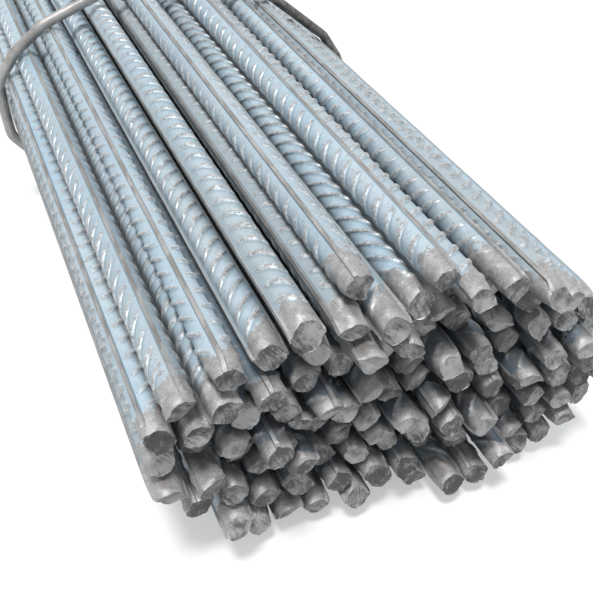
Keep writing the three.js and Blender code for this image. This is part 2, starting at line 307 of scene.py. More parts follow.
for serial, bar in enumerate(all_bars):
    bar.random = np.random.default_rng(1000 + serial)
    bar.shade = bar.random.random()
    bar.phase = bar.random.random()
    bar.slants = USUAL_SLANTS[bar.random.integers(len(USUAL_SLANTS))]
    bar.bare = bar.random.uniform(*(BARE_COVERED if is_covered(bar) else BARE_OPEN))
    bar.lean = bar.random.uniform(-1, 1, (FACE_PLANES, 2))
    bar.hollow = bar.random.choice([-1, 1])
    bar.turn = bar.random.uniform(0, 2 * math.pi)
    bar.dents = bar.random.uniform(0, 2 * math.pi, 3)
    bar.squash = bar.random.uniform(LEAST_SQUASH, MOST_SQUASH)
for name, slants in SLANTS_SEEN.items():
    bars_by_node[name][0].slants = slants
for name, bare in BARE_SEEN.items():
    bars_by_node[name][0].bare = bare
for name, shade in SHADES_SEEN.items():
    bars_by_node[name][0].shade = shade


# ---- The mesh of one bar ----
def columns(inner):
    """Arrays of the places round a bar, with inner ones between its two lengthwise ribs."""
    foot = math.asin(LUG_FOOT_HALF_WIDTH / CORE_RADIUS)
    steps = np.linspace(foot, math.pi - foot, inner + 2)
    turn = steps - math.pi / 2
    side = np.minimum(np.abs(turn) / (math.pi / 2 - foot) / CRESCENT_SHARE, 1)
    corner = np.array([-1.0, 1.0])
    half = len(steps) + 2
    return SimpleNamespace(
        count=2 * half,
        angle=np.concatenate([[0, 0], steps, [math.pi] * 2, steps + math.pi]),
        lug=np.concatenate([[1, 1], 0 * steps, [1, 1], 0 * steps]),
        corner=np.concatenate([corner, 0 * steps, corner, 0 * steps]),
        side=np.concatenate([[1, 1], side, [1, 1], side]),
        turn=np.concatenate([[turn[-1], turn[0]], turn, [turn[-1], turn[0]], turn]),
        first_side=np.array([False] + [True] * half + [False] * (half - 1)),
    )


FULL_INNER = 9
MID_INNER = 4
FULL = columns(FULL_INNER)
MID = columns(MID_INNER)
# The full columns that the mid ones share: every second one between the lengthwise ribs.
HALF_SHARED = [0, 1, 2] + list(range(4, 3 + FULL_INNER, 2)) + [3 + FULL_INNER]
SHARED = HALF_SHARED + [i + FULL.count // 2 for i in HALF_SHARED]


def shifts(bar, cols):
    """How far from the near end the slanted ribs shift each column."""
    slopes = [1 / math.tan(math.radians(slant)) for slant in bar.slants]
    return CORE_RADIUS * cols.turn * np.where(cols.first_side, *slopes)


def crescent_width(side):
    """Width of a slanted rib, as a share of that in its middle; side is 1 at its two tips."""
    return CRESCENT_TIP + (1 - CRESCENT_TIP) * (1 - side**CRESCENT_POWER)


def rib_height(phase, side, profile):
    """Share of a slanted rib's height, where phase counts ribs along the bar."""
    off = ((phase + 0.5) % 1.0 - 0.5) * RIB_PITCH / MM
    places, shares = zip(*profile)
    return np.interp(off / crescent_width(side), places, shares)


def rings(bar, rows, cols, plain):
    """Points and shader values of rows of points round a bar.

    A row is a distance from the near face, and an offset from there that narrows with the rib.
    """
    length = bar.far[0] - bar.near[0]
    base_gap, offset = np.array(rows).T
    near_gap = base_gap[:, None] + offset[:, None] * crescent_width(cols.side)
    far_gap = length - near_gap
    angle = cols.angle + bar.roll
    out = np.stack([np.cos(angle), np.sin(angle)], axis=-1)
    tangent = np.stack([-np.sin(angle), np.cos(angle)], axis=-1)
    base = np.where(cols.lug > 0, bar.reach, CORE_RADIUS)[:, None] * out
    base = base + (cols.corner * LUG_HALF_WIDTH)[:, None] * tangent

    near_share = 1 - smooth(near_gap / BLEND)
    far_share = 1 - smooth(far_gap / BLEND)
    shift = shifts(bar, cols)
    slant = (1 - near_share) * (1 - far_share) * shift
    along = bar.near[0] + near_gap + slant
    along = along + near_share * (base @ bar.near[1:]) + far_share * (base @ bar.far[1:])

    phase = (along - shift - bar.near[0]) / RIB_PITCH + bar.phase
    grown = smooth((near_gap - RIBS_GROW_FROM) / NEAR_RIBS_GROW)
    kept = RIBS_LEFT + (1 - RIBS_LEFT) * grown * smooth((far_gap - RIBS_GROW_FROM) / FAR_RIBS_GROW)
    crescent = 1 - cols.side**CRESCENT_POWER
    rise = 0 if plain else RIB_RISE * crescent * rib_height(phase, cols.side, FINE_PROFILE) * kept
    section = base[None] + (rise * np.ones_like(phase))[..., None] * out[None]

    squeezed = (np.clip(1 - near_gap / SQUEEZE_LENGTH, 0, 1) ** SQUEEZE_FADE)[..., None]
    section = section * (1 - squeezed) + (section @ bar.squeeze) * squeezed
    places = bar.middle + section
    points = np.stack([places[..., 0], along, places[..., 1]], axis=-1)
    ones = np.ones_like(phase)
    from_end = np.minimum(near_gap, far_gap) / bar.bare
    ribs = np.stack([phase, cols.side * ones, cols.lug * ones], axis=-1)
    wear = np.stack([from_end * ones, bar.shade * ones, float(plain) * ones], axis=-1)
    u, v = section[..., 0] / CORE_RADIUS, section[..., 1] / CORE_RADIUS
    cut = np.stack([u, v, bar.turn * ones], axis=-1)
    return points, ribs, wear, cut


def gap_beside(points):
    """Millimetres from each point to the core of the nearest bar other than its own."""
    across = points[:, [0, 2]]
    gaps = np.stack([np.hypot(*(across - bar.middle).T) for bar in all_bars])
    return (np.partition(gaps, 1, axis=0)[1] - CORE_RADIUS) / MM


class Mesh:
    """Points, faces and shader values that gather up bars."""

    def __init__(self):
        self.points, self.ribs, self.wear, self.cut = [], [], [], []
        self.faces, self.slots = [], []
        self.count = 0
        self.skin = 0  # slot of the steel of the bar that is being added

    def add_points(self, points, ribs, wear, cut):
        """Adds points with their shader values, and gives the number of the first one."""
        start = self.count
        kept = (self.points, self.ribs, self.wear, self.cut)
        for held, values in zip(kept, (points, ribs, wear, cut)):
            held.append(values.reshape(-1, 3))
        self.count += points.size // 3
        return start

    def add_faces(self, faces, slot=None):
        """Adds faces of the bar's own steel, or of the slot that is given."""
        self.faces.extend(faces)
        self.slots.extend([self.skin if slot is None else slot] * len(faces))

    def join(self, lower, upper, count, rows=1, slot=None, flip=False):
        """Quads between rows of count points, the first of which start at lower and upper."""
        row = np.arange(rows)[:, None] * count
        j = np.arange(count)[None]
        k = (j + 1) % count
        quads = np.stack([lower + row + j, upper + row + j, upper + row + k, lower + row + k], axis=-1)
        quads = quads.reshape(-1, 4)
        self.add_faces((quads[:, ::-1] if flip else quads).tolist(), slot)

    def thin(self, full, mid):
        """Faces from a row of full columns to a row of mid ones."""
        for m, first in enumerate(SHARED):
            last = SHARED[(m + 1) % len(SHARED)]
            span = (last - first) % FULL.count
            between = [full + (first + i) % FULL.count for i in range(span, 0, -1)]
            upper = [mid + m, mid + (m + 1) % MID.count]
            self.add_faces([[full + first, *upper, *between]])

    def build(self, name, materials):
        """The mesh as an object of the scene."""
        mesh = bpy.data.meshes.new(name)
        mesh.from_pydata(np.concatenate(self.points).tolist(), [], self.faces)
        for label, values in (("ribs", self.ribs), ("wear", self.wear), ("cut", self.cut)):
            attribute = mesh.attributes.new(label, "FLOAT_VECTOR", "POINT")
            attribute.data.foreach_set("vector", np.concatenate(values).astype(np.float32).ravel())
        beside = mesh.attributes.new("beside", "FLOAT", "POINT")
        beside.data.foreach_set("value", gap_beside(np.concatenate(self.points)).astype(np.float32))
        for material in materials:
            mesh.materials.append(material)
        mesh.polygons.foreach_set("material_index", self.slots)
        mesh.polygons.foreach_set("use_smooth", [True] * len(mesh.polygons))
        mesh.set_sharp_from_angle(angle=SHARP_ANGLE)
        mesh.update()
        piece = bpy.data.objects.new(name, mesh)
        bpy.context.scene.collection.objects.link(piece)
        return piece


def straight(distances):
    """Rows that keep one distance all the way round."""
    return [(distance, 0.0) for distance in distances]


def aligned(bar, start, end, profile):
    """Rows that follow the slanted ribs between two distances."""
    first = math.ceil(start / RIB_PITCH + bar.phase)
    last = math.floor(end / RIB_PITCH + bar.phase)
    ribs = [(k - bar.phase) * RIB_PITCH for k in range(first, last + 1)]
    rows = [(rib, off * MM) for rib in ribs for off, _ in profile]
    return [row for row in rows if start + ROW_GAP < sum(row) < end - ROW_GAP]


def torn_face(bar, u, v):
    """Height of a sheared face over its plane, in metres, at places in shares of the radius."""
    planes = [a * u + b * v for a, b in bar.lean]
    wave = sum(0.5 * np.sin(a * u + b * v + c * bar.turn) for a, b, c in FACE_WAVES)
    tipped = FACE_TIP * CORE_RADIUS * v
    return tipped + bar.hollow * FACE_FOLD * np.maximum.reduce(planes) + FACE_WAVE * wave


def add_end_face(mesh, bar, ring, start, cols, near):
    """Closes the end of a bar whose last row starts at start. The near faces are sheared."""
    plane = bar.near if near else bar.far

    def surface(across):
        """Y of the torn face at offsets from the bar's middle."""
        u, v = across.T / CORE_RADIUS
        return plane[0] + across @ plane[1:] + torn_face(bar, u, v) * (1 if near else FAR_TEAR)

    rim = ring[:, [0, 2]] - bar.middle
    rim_rise = ring[:, 1] - surface(rim)
    lower = start
    for share in (*CAP_SHARES, 0):
        across = rim * share
        places = bar.middle + across
        along = surface(across) + rim_rise * share**RIM_FADE
        points = np.stack([places[:, 0], along, places[:, 1]], axis=-1)
        ones = np.ones(len(points))
        cut = np.stack([*across.T / CORE_RADIUS, bar.turn * ones], axis=-1)
        flat = np.stack([0 * ones, ones, 0 * ones], axis=-1)
        wear = np.stack([0 * ones, bar.shade * ones, (1 - share) * ones], axis=-1)
        if share == 0:
            tip = mesh.add_points(points[:1], flat[:1], wear[:1], cut[:1])
            pairs = [(lower + j, lower + (j + 1) % cols.count) for j in range(cols.count)]
            mesh.add_faces([[a, b, tip] if near else [b, a, tip] for a, b in pairs], slot=CUT_SLOT)
            return
        inner = mesh.add_points(points, flat, wear, cut)
        mesh.join(lower, inner, cols.count, slot=CUT_SLOT, flip=near)
        lower = inner


def close_to_leaf(bar, across, distance):
    """Narrows the end, between the blades of the shears, to the pointed outline of a leaf."""
    blades = np.linalg.svd(bar.squeeze)[2][1]
    pressed = across @ blades
    sideways = across @ np.array([-blades[1], blades[0]])
    share = np.clip(np.abs(sideways) / np.abs(sideways).max(), 0, 1)
    taken = bar.squash + LEAF * (1 - np.sqrt(1 - share**2))
    taken = taken * np.clip(1 - distance / LEAF_DEPTH, 0, 1) ** LEAF_FADE
    return across - (pressed * taken)[..., None] * blades


def shear_edge(bar, points, rows):
    """Rolls the near end's upper edge over, draws a ragged burr out below and tears the rim."""
    distance = np.array(rows).sum(axis=1)[:, None]
    turn = BURR_FACING + BURR_SPREAD * bar.random.uniform(-1, 1)
    across = close_to_leaf(bar, points[..., [0, 2]] - bar.middle, distance)
    radius = np.linalg.norm(across, axis=-1, keepdims=True)
    facing = (across / radius) @ np.array([math.cos(turn), math.sin(turn)])
    angle = np.arctan2(across[..., 1], across[..., 0])
    dents = sum(np.sin(k * angle + start) for k, start in zip(RIM_SWINGS, bar.dents)) / 2
    dents *= RIM_DENT * np.clip(1 - distance / DENT_DEPTH, 0, 1) ** DENT_FADE
    close = np.clip(1 - distance / EDGE_DEPTH, 0, 1)
    rolled = 1 + dents - RIM_DENT - EDGE_ROLL * np.clip(-facing, 0, 1) * close**2
    points[..., [0, 2]] = bar.middle + across * rolled[..., None]
    swing = np.sin(4 * angle + bar.turn) * np.sin(7 * angle + 2 * bar.turn)
    ragged = BURR_EVEN + (1 - BURR_EVEN) * swing
    points[..., 1] -= BURR * ragged * np.clip(facing, 0, 1) ** 2 * close**3
    u, v = (across[..., i] / CORE_RADIUS for i in (0, 1))
    points[..., 1] += torn_face(bar, u, v) * np.clip(1 - distance / TEAR_DEPTH, 0, 1)
    bumps = bar.random.normal(0, 1, points.shape[:2]) * ROUGH_SKIN
    bumps *= np.clip(1 - distance / SKIN_DEPTH, 0, 1)
    points[..., [0, 2]] += (across / radius) * bumps[..., None]
    return points


def add_bar(mesh, bar, fine_reach, mid_reach, far_reach):
    """Adds a bar, with fine ribs as far as fine_reach, plainer ones to mid_reach and at the far end."""
    length = bar.far[0] - bar.near[0]
    ragged = straight([*EDGE_ROWS, *np.arange(EVEN_ROWS_FROM, BLEND, NEAR_ROW)])
    fine = ragged + aligned(bar, BLEND, fine_reach, FINE_PROFILE)
    points, *values = rings(bar, fine, FULL, plain=False)
    points = shear_edge(bar, points, fine)
    start = mesh.add_points(points, *values)
    mesh.join(start, start + FULL.count, FULL.count, rows=len(fine) - 1)
    add_end_face(mesh, bar, points[0], start, FULL, near=True)
    lower = start + FULL.count * (len(fine) - 1)
    thinned = False

    def carry_on(rows, plain):
        """Adds rows of mid columns after those that are there."""
        nonlocal lower, thinned
        points, *values = rings(bar, rows, MID, plain)
        first = mesh.add_points(points, *values)
        if thinned:
            mesh.join(lower, first, MID.count)
        else:
            mesh.thin(lower, first)
            thinned = True
        mesh.join(first, first + MID.count, MID.count, rows=len(rows) - 1)
        lower = first + MID.count * (len(rows) - 1)
        return points

    if mid_reach > fine_reach:
        carry_on(aligned(bar, fine_reach, mid_reach, PLAIN_PROFILE), plain=False)
    long_rows = max(2, math.ceil((length - far_reach - mid_reach) / LONG_ROW))
    gap = CHANGE_GAP * RIB_PITCH
    carry_on(straight(np.linspace(mid_reach + gap, length - far_reach - gap, long_rows)), plain=True)
    far_rows = aligned(bar, length - far_reach, length - BLEND, PLAIN_PROFILE)
    last_rows = np.arange(length - BLEND + FAR_INSET, length - FAR_INSET, FAR_ROW)
    far_rows += straight([*last_rows, length])
    points = carry_on(far_rows, plain=False)
    add_end_face(mesh, bar, points[-1], lower, MID, near=False)


# ---- Materials ----
class Graph:
    """A short way to write the nodes of a material or of the world."""

    def __init__(self, owner, shader="Principled BSDF"):
        owner.use_nodes = True
        self.owner = owner
        self.tree = owner.node_tree
        self.shader = self.tree.nodes[shader]

    def put(self, socket, value):
        """Links a socket to another, or sets it to a number, vector or colour."""
        if isinstance(value, bpy.types.NodeSocket):
            self.tree.links.new(value, socket)
        else:
            socket.default_value = value

    def add(self, kind, inputs=(), **settings):
        """A new node with its settings and inputs."""
        node = self.tree.nodes.new(kind)
        for key, value in settings.items():
            setattr(node, key, value)
        for key, value in dict(inputs).items():
            self.put(node.inputs[key], value)
        return node

    def finish(self, looks):
        """Gives the shader its inputs, and returns the material or world."""
        for key, value in looks.items():
            self.put(self.shader.inputs[key], value)
        return self.owner

    def math(self, operation, a, b=0.0):
        return self.add("ShaderNodeMath", {0: a, 1: b}, operation=operation).outputs[0]

    def times(self, value, *others):
        """The product of several values."""
        for other in others:
            value = self.math("MULTIPLY", value, other)
        return value

    def most(self, value, *others):
        """The greatest of several values."""
        for other in others:
            value = self.math("MAXIMUM", value, other)
        return value

    def ramp(self, value, low, high, out_low=0.0, out_high=1.0):
        """Goes smoothly from out_low, where value is low, to out_high, where it is high."""
        span = {"From Min": low, "From Max": high, "To Min": out_low, "To Max": out_high}
        inputs = {"Value": value, **span}
        return self.add("ShaderNodeMapRange", inputs, interpolation_type="SMOOTHSTEP").outputs["Result"]

    def mix(self, factor, a, b):
        """Colour a where factor is 0, and b where it is 1."""
        inputs = {0: factor, 6: a, 7: b}
        return self.add("ShaderNodeMix", inputs, data_type="RGBA").outputs[2]

    def split(self, attribute):
        source = self.add("ShaderNodeAttribute", attribute_name=attribute)
        return self.add("ShaderNodeSeparateXYZ", {0: source.outputs["Vector"]}).outputs

    def object_place(self):
        coords = self.add("ShaderNodeTexCoord").outputs["Object"]
        return self.add("ShaderNodeSeparateXYZ", {0: coords}).outputs

    def places(self, shade, stretch=(1, 1, 1)):
        """Coordinates that differ from bar to bar."""
        coords = self.add("ShaderNodeTexCoord").outputs["Object"]
        moved = self.add("ShaderNodeCombineXYZ", {0: shade, 1: shade, 2: shade}).outputs[0]
        shifted = self.add("ShaderNodeVectorMath", {0: coords, 1: moved}, operation="ADD").outputs[0]
        return self.add("ShaderNodeVectorMath", {0: shifted, 1: stretch}, operation="MULTIPLY").outputs[0]

    def noise(self, places, scale, detail=3.0, rough=0.55):
        """Noise whose largest spots repeat about scale times in a metre."""
        inputs = {"Vector": places, "Scale": scale, "Detail": detail, "Roughness": rough}
        return self.add("ShaderNodeTexNoise", inputs).outputs["Fac"]

    def bump(self, height, distance, strength=1.0, normal=None):
        inputs = {"Height": height, "Distance": distance, "Strength": strength}
        if normal:
            inputs["Normal"] = normal
        return self.add("ShaderNodeBump", inputs).outputs[0]

    def seen(self):
        """1 where the camera, a reflection or a view through glass looks, and 0 for light on things."""
        rays = self.add("ShaderNodeLightPath").outputs
        return self.most(rays["Is Camera Ray"], rays["Is Glossy Ray"], rays["Is Transmission Ray"])


BLUE_SCALE = (0.41, 0.54, 0.63, 1)
PALE_SCALE = (0.50, 0.60, 0.66, 1)
GREY_SCALE = (0.38, 0.42, 0.44, 1)
SHADE_PAINTED_SCALE = (0.115, 0.145, 0.18, 1)  # painted shade: dark scale for the bars that the others cover
PAINTED_FOOT_SHADE = (0.20, 0.28, 0.34, 1)  # painted shade at the near foot of a rib
TAUPE = (0.34, 0.325, 0.315, 1)
TAUPE_LIGHT = (0.45, 0.43, 0.41, 1)
TARNISH = (0.19, 0.18, 0.17, 1)  # on the flat tops of the lengthwise ribs
PAINTED_SHADE_LINE = (0.04, 0.045, 0.05, 1)  # painted shade: a dark line at the feet of the slanted and the lengthwise ribs
SHADE_AND_DIRT = (0.15, 0.138, 0.13, 1)  # painted shade, with dirt, between the ribs where two bars nearly touch
SHADE_AND_DIRT_GAP = (2.5, 4.1)  # millimetres to the next bar's core where it is full, and where it ends
# Painted highlight, partly bright rubbed metal: on rib flanks and crests, in flecks, in glints on bare
# ends and on burrs.
PAINTED_HIGHLIGHT_AND_BRIGHT_METAL = (0.72, 0.75, 0.77, 1)
BARE_DARK = (0.29, 0.28, 0.275, 1)
BARE_LIGHT = (0.47, 0.46, 0.455, 1)
SHADE_PAINTED_BARE = (0.17, 0.17, 0.172, 1)  # painted shade on bare metal
SPECK = (0.09, 0.09, 0.10, 1)
SHADE_PAINT_HEIGHT = (70 * MM, 125 * MM)  # painted shade on open ends: full below the first height, none above the second
SHADE_PAINT_SIDE = (-130 * MM, -114 * MM)  # and none on the left, up to the first
CORNER_X, CORNER_Z = (-74 * MM, -80 * MM), (98 * MM, 104 * MM)  # light gets in at the upper left
BAR_METALLIC = 0.25
SCALE_BUMP = 0.10 * MM
BARE_BUMP = 0.5 * MM
LENGTHWISE = (1, 0.16, 1)  # spots are drawn out along the bar
SCRATCHES = (1, 0.05, 1)

# Millimetres across a slanted rib from its middle line, below 0 towards the near end: where a
# mark starts and where it is full, or where it starts to fade and where it is gone.
FOOT_START, FOOT_END = (-5.4, -2.9), (-2.6, -1.9)
SHADE_LINE_START, SHADE_LINE_END = (-2.0, -1.7), (-1.5, -1.2)
CREST_END = (1.1, 1.6)
CREST_NEAR_END = (-0.2, 0.7)  # past its middle a crest is hardly bare
CREST_UNEVEN = 0.35  # a crest is rubbed this much wider or narrower from rib to rib
FLANK_START, FLANK_END = (1.25, 1.6), (1.9, 2.3)
BESIDE_END = (1.6, 3.8)
VALLEY_START = (1.2, 2.0)
BUMP_END = (1.0, 2.3)


def read_bar(g):
    """What a bar's colours share: its shader values, noises, and the place on a slanted rib."""
    on = SimpleNamespace()
    on.phase, on.side, on.lug = g.split("ribs")
    on.from_end, on.shade, on.plain = g.split("wear")
    on.here = g.places(on.shade)
    on.lengthwise = g.places(on.shade, LENGTHWISE)
    on.broad = g.noise(on.lengthwise, 38)
    on.middle = g.noise(on.here, 240, 4)
    on.fine = g.noise(on.here, 1500, 4, 0.65)

    count = g.math("ADD", on.phase, 0.5)
    on.crescent = g.math("SUBTRACT", 1.0, g.math("POWER", on.side, CRESCENT_POWER))
    width = g.math("ADD", g.times(on.crescent, 1 - CRESCENT_TIP), CRESCENT_TIP)
    off = g.times(g.math("SUBTRACT", g.math("FRACT", count), 0.5), RIB_PITCH / MM)
    on.signed = g.math("DIVIDE", off, width)
    on.off = g.math("ABSOLUTE", on.signed)
    on.stands = g.ramp(on.crescent, 0.02, 0.25)
    cell = g.add("ShaderNodeCombineXYZ", {0: g.math("FLOOR", count), 1: g.times(on.shade, 91.0)})
    chance = g.add("ShaderNodeTexWhiteNoise", {"Vector": cell.outputs[0]}, noise_dimensions="3D")
    on.each = chance.outputs["Value"]
    return on


def scale_colour(g, on, deep):
    """Blue-grey mill scale. On covered bars it has painted shade, lighter at the upper left where light
    gets in; on the others, painted shade at the feet of the ribs.
    """
    if deep:
        # Painted shade for covered bars, lighter at the upper left where light gets in.
        scale = g.mix(g.ramp(on.broad, 0.35, 0.65, 0, 0.12), SHADE_PAINTED_SCALE, PALE_SCALE)
        x, _, z = g.object_place()
        corner = g.times(g.ramp(x, *CORNER_X), g.ramp(z, *CORNER_Z, 0, 0.3))
        return g.mix(corner, scale, BLUE_SCALE)
    scale = g.mix(g.ramp(on.broad, 0.35, 0.65), BLUE_SCALE, PALE_SCALE)
    scale = g.mix(g.ramp(on.shade, 0.62, 0.98, 0, 0.75), scale, GREY_SCALE)
    scale = g.mix(g.ramp(g.noise(on.lengthwise, 14, 2), 0.46, 0.68, 0, 0.5), scale, GREY_SCALE)
    # Painted shade at the near foot of each rib.
    foot = g.times(g.ramp(on.signed, *FOOT_START), g.ramp(on.signed, *FOOT_END, 1, 0))
    return g.mix(g.times(foot, on.stands, 0.5), scale, PAINTED_FOOT_SHADE)


def rub(g, on, scale, deep):
    """Bares taupe metal on the crests of the ribs, on the lengthwise ribs, in patches and chips."""
    reach = g.math("ADD", on.off, g.ramp(on.each, 0, 1, -CREST_UNEVEN, CREST_UNEVEN))
    uneven = g.ramp(on.middle, 0.34, 0.46, 0.35, 1.0)
    on.crest = g.times(g.ramp(reach, *CREST_END, 1, 0), on.stands, uneven)
    near_half = g.times(on.crest, g.ramp(on.signed, *CREST_NEAR_END, 1, 0.15))
    patch = g.times(g.ramp(on.middle, 0.60, 0.70), g.ramp(on.broad, 0.48, 0.66))
    rubbed = g.most(near_half, g.ramp(on.lug, 0.35, 0.9, 0, 0.9), patch)
    taupe = g.mix(g.ramp(g.noise(on.lengthwise, 300, 3), 0.42, 0.62), TAUPE, TAUPE_LIGHT)
    colour = g.mix(g.times(rubbed, 0.5 if deep else 1.0), scale, taupe)
    blots = g.ramp(g.noise(on.lengthwise, 420, 4), 0.42, 0.60, 0.1, 0.7)
    colour = g.mix(g.times(g.ramp(on.lug, 0.5, 0.9), blots), colour, TARNISH)
    chips = g.noise(on.here, 360, 4, 0.65)
    beside = g.times(g.ramp(on.off, *BESIDE_END, 1, 0.3), on.stands)
    colour = g.mix(g.times(beside, g.ramp(chips, 0.55, 0.60, 0, 0.8)), colour, taupe)
    # Painted highlight, partly bright metal: small flecks beside the ribs.
    fleck_highlight = g.times(beside, g.ramp(chips, 0.40, 0.36, 0, 0.1 if deep else 0.8))
    return g.mix(fleck_highlight, colour, PAINTED_HIGHLIGHT_AND_BRIGHT_METAL)


def line_ribs(g, on, colour, deep):
    """Paints dark shade lines along the feet of the ribs, and painted highlights, partly bright rubbed
    metal, on their flanks and crests.
    """
    # Painted shade at the feet of the lengthwise ribs.
    crease_shade = g.times(g.ramp(on.lug, 0.02, 0.14), g.ramp(on.lug, 0.4, 0.65, 0.45, 0))
    colour = g.mix(crease_shade, colour, PAINTED_SHADE_LINE)
    flank = g.times(g.ramp(on.off, *FLANK_START), g.ramp(on.off, *FLANK_END, 1, 0))
    on.flank = g.times(flank, on.stands, g.ramp(g.noise(on.here, 700, 3), 0.44, 0.60))
    # Painted highlight along the ribs' flanks, partly bright rubbed metal.
    colour = g.mix(g.times(on.flank, 0.15 if deep else 0.75), colour, PAINTED_HIGHLIGHT_AND_BRIGHT_METAL)
    # Painted highlight on the crests, partly bright rubbed metal.
    crest_highlight = g.ramp(g.noise(on.here, 420, 4, 0.7), 0.52, 0.60, 0, 0.15 if deep else 0.6)
    colour = g.mix(g.times(on.crest, crest_highlight), colour, PAINTED_HIGHLIGHT_AND_BRIGHT_METAL)
    # Painted shade: a dark line at the near foot of each slanted rib.
    shade_line = g.times(g.ramp(on.signed, *SHADE_LINE_START), g.ramp(on.signed, *SHADE_LINE_END, 1, 0))
    broken = g.ramp(g.noise(on.here, 330, 2), 0.46, 0.58, 0, 0.6)
    return g.mix(g.times(shade_line, on.stands, broken), colour, PAINTED_SHADE_LINE)


def bare_end(g, on, colour, deep):
    """Takes the scale off the end of the bar, up to a ragged line, and paints glints and shade on the
    metal there.
    """
    ragged = g.math("ADD", on.from_end, g.times(g.math("SUBTRACT", on.middle, 0.5), 1.5))
    ragged = g.math("ADD", ragged, g.math("SUBTRACT", on.broad, 0.5))
    on.bare = g.ramp(ragged, 0.95, 1.05, 1, 0)
    grain = g.math("ADD", g.times(on.middle, 0.35), g.times(on.fine, 0.65))
    worn = g.mix(g.ramp(grain, 0.38, 0.62), BARE_DARK, BARE_LIGHT)
    # Painted glints on the bare metal.
    worn = g.mix(g.ramp(g.noise(on.here, 300, 2), 0.64, 0.72, 0, 0.4), worn, PAINTED_HIGHLIGHT_AND_BRIGHT_METAL)
    # Painted shade: further from the end on covered bars, and low in the bundle away from its left side
    # on the others.
    if deep:
        painted_shade = g.ramp(on.from_end, 0.5, 0.9, 0, 0.65)
    else:
        x, _, z = g.object_place()
        painted_shade = g.times(g.ramp(z, *SHADE_PAINT_HEIGHT, 0.35, 0), g.ramp(x, *SHADE_PAINT_SIDE))
        painted_shade = g.times(painted_shade, g.ramp(on.from_end, 0.2, 0.6))
    return g.mix(on.bare, colour, g.mix(painted_shade, worn, SHADE_PAINTED_BARE))


def soil_and_shade(g, on, colour):
    """Paints shade, with dirt, between a bar's ribs where the next bar is close, and lays dark specks
    everywhere.
    """
    beside = g.add("ShaderNodeAttribute", attribute_name="beside").outputs["Fac"]
    valley = g.most(g.ramp(on.off, *VALLEY_START, 0.35, 1), on.bare)
    # Painted shade, with dirt, where the next bar is close.
    shade_and_dirt = g.times(g.ramp(beside, *SHADE_AND_DIRT_GAP, 0.7, 0), valley, g.ramp(on.lug, 0.5, 0.9, 1, 0.15))
    colour = g.mix(shade_and_dirt, colour, SHADE_AND_DIRT)
    specks = g.ramp(g.noise(on.here, 620, 1), 0.72, 0.76)
    return g.mix(g.times(specks, 0.6), colour, SPECK)


def bar_normal(g, on):
    """Bump of the slanted ribs where they aren't meshed, of the scale's skin and of bare metal."""
    rib = g.times(g.ramp(on.off, *BUMP_END, 1, 0), on.crescent)
    normal = g.bump(g.times(rib, on.plain, RIB_RISE), 1.0)
    scratches = g.noise(g.places(on.shade, SCRATCHES), 1600, 2)
    skin = g.math("ADD", g.times(on.fine, 0.6), g.times(scratches, 0.4))
    normal = g.bump(skin, SCALE_BUMP, g.ramp(on.bare, 0, 1, 0.5, 1.0), normal)
    return g.bump(on.middle, BARE_BUMP, g.times(on.bare, 0.8), normal)


def bar_steel(deep):
    """Steel of the bars that lie open, or, with painted shade, of those that the others cover."""
    g = Graph(bpy.data.materials.new("bar_steel_shade_painted" if deep else "bar_steel_scale"))
    on = read_bar(g)
    colour = rub(g, on, scale_colour(g, on, deep), deep)
    colour = line_ribs(g, on, colour, deep)
    colour = soil_and_shade(g, on, bare_end(g, on, colour, deep))
    dull = g.ramp(on.fine, 0.3, 0.7, 0.44, 0.56)
    looks = {
        "Base Color": colour,
        "Metallic": BAR_METALLIC,
        "Roughness": g.math("SUBTRACT", dull, g.times(on.flank, 0.12)),
        "Normal": bar_normal(g, on),
    }
    return g.finish(looks)


CUT_DARK = (0.08, 0.08, 0.082, 1)
CUT_LIGHT = (0.41, 0.41, 0.407, 1)
CUT_METALLIC = 0.35
CUT_FOLD = 2.2 * MM  # how far the finer planes of a torn face rise over its radius
CUT_LINES_BUMP = 0.3 * MM
CUT_GRAIN_BUMP = 0.12 * MM


